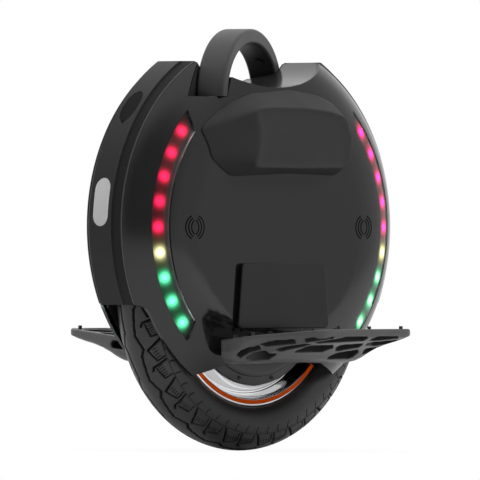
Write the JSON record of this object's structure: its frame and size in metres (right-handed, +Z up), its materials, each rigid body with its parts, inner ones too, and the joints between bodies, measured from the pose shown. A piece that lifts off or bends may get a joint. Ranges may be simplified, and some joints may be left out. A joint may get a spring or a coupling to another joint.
{
  "type": "electric unicycle",
  "caption": "Self-balancing electric unicycle: one fat-tyred hub-motor wheel in a domed shell with light strips, knee pads, folding pedals and a pull-out carry handle.",
  "frame": {"origin": "on the ground under the axle, at the middle of the wheel", "axes": "+X forward towards the headlight, +Y the rider's left, +Z up"},
  "size_m": [0.496, 0.424, 0.5479],
  "materials": {
    "fender_plastic": "textured moulded plastic",
    "scoop_satin": "satin moulded plastic",
    "spine_satin": "satin moulded plastic",
    "shell_gloss": "semi-gloss moulded plastic",
    "plate_gloss": "semi-gloss moulded plastic",
    "knee_foam": "soft moulded foam",
    "steel": "turned steel",
    "lamp_lens": "diffusing lens",
    "strip_lens": "clear strip lens",
    "circuit_board": "solder mask",
    "cap_rubber": "soft rubber",
    "socket_plastic": "matt black plastic",
    "button_plastic": "satin button",
    "tyre": "moulded tread rubber",
    "polished_rim": "polished",
    "stripe_paint": "gloss orange paint",
    "magnet": "nickel plated",
    "stator_iron": "laminated iron and windings",
    "hub_paint": "dark powder coat",
    "tube_aluminium": "brushed anodised",
    "hanger_aluminium": "black anodised",
    "pedal_casting": "powder coated casting",
    "stud_black": "blackened steel",
    "battery_wrap": null,
    "handle_satin": "satin moulded plastic"
  },
  "bodies": {
    "chassis": {"inner_fender": "fender_plastic", "top_cover": "scoop_satin", "handle_pockets": "fender_plastic", "spine_cover_front": "spine_satin", "spine_cover_rear": "spine_satin", "cover_screws": "steel", "headlight_lens": "lamp_lens", "taillight_lens": "lamp_lens", "headlight_board": "circuit_board", "taillight_board": "circuit_board", "charge_inlet": "socket_plastic", "stator": "stator_iron", "axle": "steel", "axle_nuts": "steel", "trolley_outer_tubes": "tube_aluminium", "heat_sink": "tube_aluminium", "control_board": "circuit_board", "side_cover_left": "shell_gloss", "knee_pad_left": "knee_foam", "rest_plate_left": "plate_gloss", "battery_left": "battery_wrap", "speakers_left": "socket_plastic", "pedal_hanger_left": "hanger_aluminium", "pedal_pin_left": "steel", "side_cover_right": "shell_gloss", "knee_pad_right": "knee_foam", "rest_plate_right": "plate_gloss", "battery_right": "battery_wrap", "speakers_right": "socket_plastic", "pedal_hanger_right": "hanger_aluminium", "pedal_pin_right": "steel", "led_lens_left_front": "strip_lens", "led_board_left_front": "circuit_board", "led_lens_left_rear": "strip_lens", "led_board_left_rear": "circuit_board", "led_lens_right_front": "strip_lens", "led_board_right_front": "circuit_board", "led_lens_right_rear": "strip_lens", "led_board_right_rear": "circuit_board"},
    "wheel": {"tyre": "tyre", "rim": "polished_rim", "rim_stripes": "stripe_paint", "hub_cover_left": "hub_paint", "hub_cover_right": "hub_paint", "magnet_ring": "magnet", "bearings": "steel", "valve_stem": "cap_rubber"},
    "pedal_left": {"pedal_left": "pedal_casting", "pedal_studs_left": "stud_black"},
    "pedal_right": {"pedal_right": "pedal_casting", "pedal_studs_right": "stud_black"},
    "trolley_middle": {"trolley_middle_tubes": "tube_aluminium"},
    "trolley_handle": {"trolley_inner_tubes": "tube_aluminium", "handle_arch": "handle_satin"},
    "release_button": {"release_button": "socket_plastic"},
    "power_button": {"power_button": "button_plastic"},
    "charge_cap": {"charge_cap": "cap_rubber"}
  },
  "joints": [
    {"name": "wheel_spin", "type": "hinge", "parent": "chassis", "child": "wheel", "pos_m": [0, 0, 0.203], "axis": [0, 1, 0], "continuous": true},
    {"name": "pedal_left_fold", "type": "hinge", "parent": "chassis", "child": "pedal_left", "pos_m": [0, 0.093, 0.136], "axis": [1, 0, 0], "range_deg": [0, 72]},
    {"name": "pedal_right_fold", "type": "hinge", "parent": "chassis", "child": "pedal_right", "pos_m": [0, -0.093, 0.136], "axis": [-1, 0, 0], "range_deg": [0, 72]},
    {"name": "trolley_extend", "type": "slide", "parent": "chassis", "child": "trolley_handle", "axis": [0, 0, 1], "range_m": [0, 0.32]},
    {"name": "trolley_middle_slide", "type": "slide", "parent": "chassis", "child": "trolley_middle", "axis": [0, 0, 1], "range_m": [0, 0.16]},
    {"name": "release_button_press", "type": "slide", "parent": "trolley_handle", "child": "release_button", "axis": [-0.528, -0.2796, 0.8019], "range_m": [0, 0.002], "stiffness_N_per_m": 600},
    {"name": "power_button_press", "type": "slide", "parent": "chassis", "child": "power_button", "axis": [0, 0, -1], "range_m": [0, 0.0012], "stiffness_N_per_m": 800},
    {"name": "charge_cap_open", "type": "hinge", "parent": "chassis", "child": "charge_cap", "pos_m": [0.17693, 0, 0.46619], "axis": [0, -1, 0], "range_deg": [0, 100]}
  ],
  "couplings": [
    {"joint": "trolley_middle_slide", "follows": "trolley_extend", "ratio": 0.5}
  ]
}
